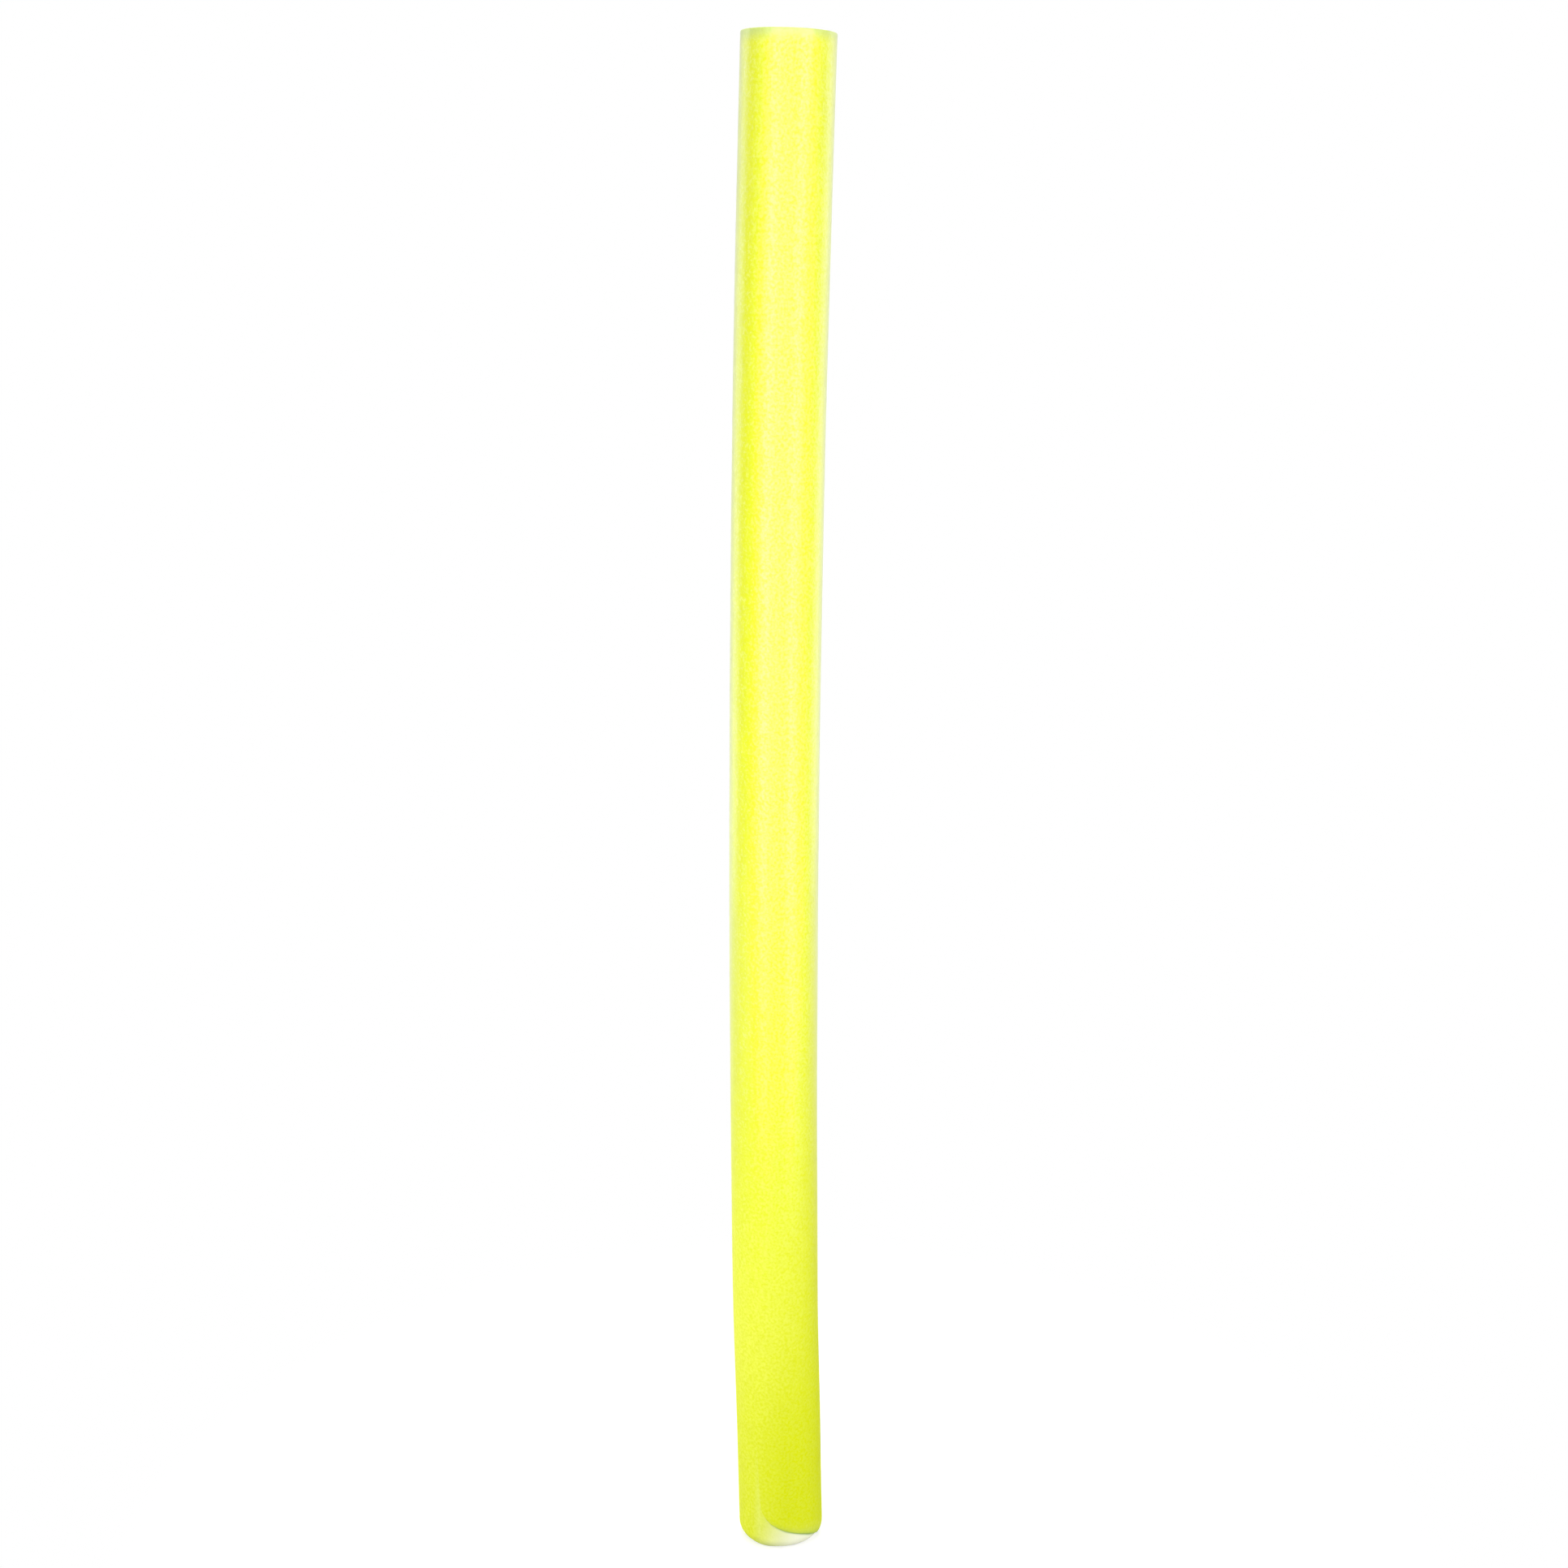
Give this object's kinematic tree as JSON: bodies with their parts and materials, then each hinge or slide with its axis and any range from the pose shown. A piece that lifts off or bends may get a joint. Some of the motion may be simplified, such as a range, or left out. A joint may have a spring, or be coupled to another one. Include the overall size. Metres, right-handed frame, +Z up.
{
  "type": "pool noodle",
  "caption": "Long round foam swimming float with a bored core, a flat cut top and a rounded foot that it stands on.",
  "frame": {"origin": "on the ground under the middle of the noodle's box, which is 1.5 mm to +X of the middle of the foot", "axes": "+Z up along the noodle, -Y towards the side that the picture shows, +X to its right"},
  "size_m": [0.0796, 0.068, 1.1731],
  "materials": {
    "skin_foam": "extruded closed-cell polyethylene foam, lemon yellow, satin skin with a fine grain",
    "core_foam": "cut closed-cell polyethylene foam, pale cream yellow, matt"
  },
  "bodies": {
    "root": {"outer_skin": "skin_foam", "foam_core": "core_foam"}
  },
  "joints": []
}
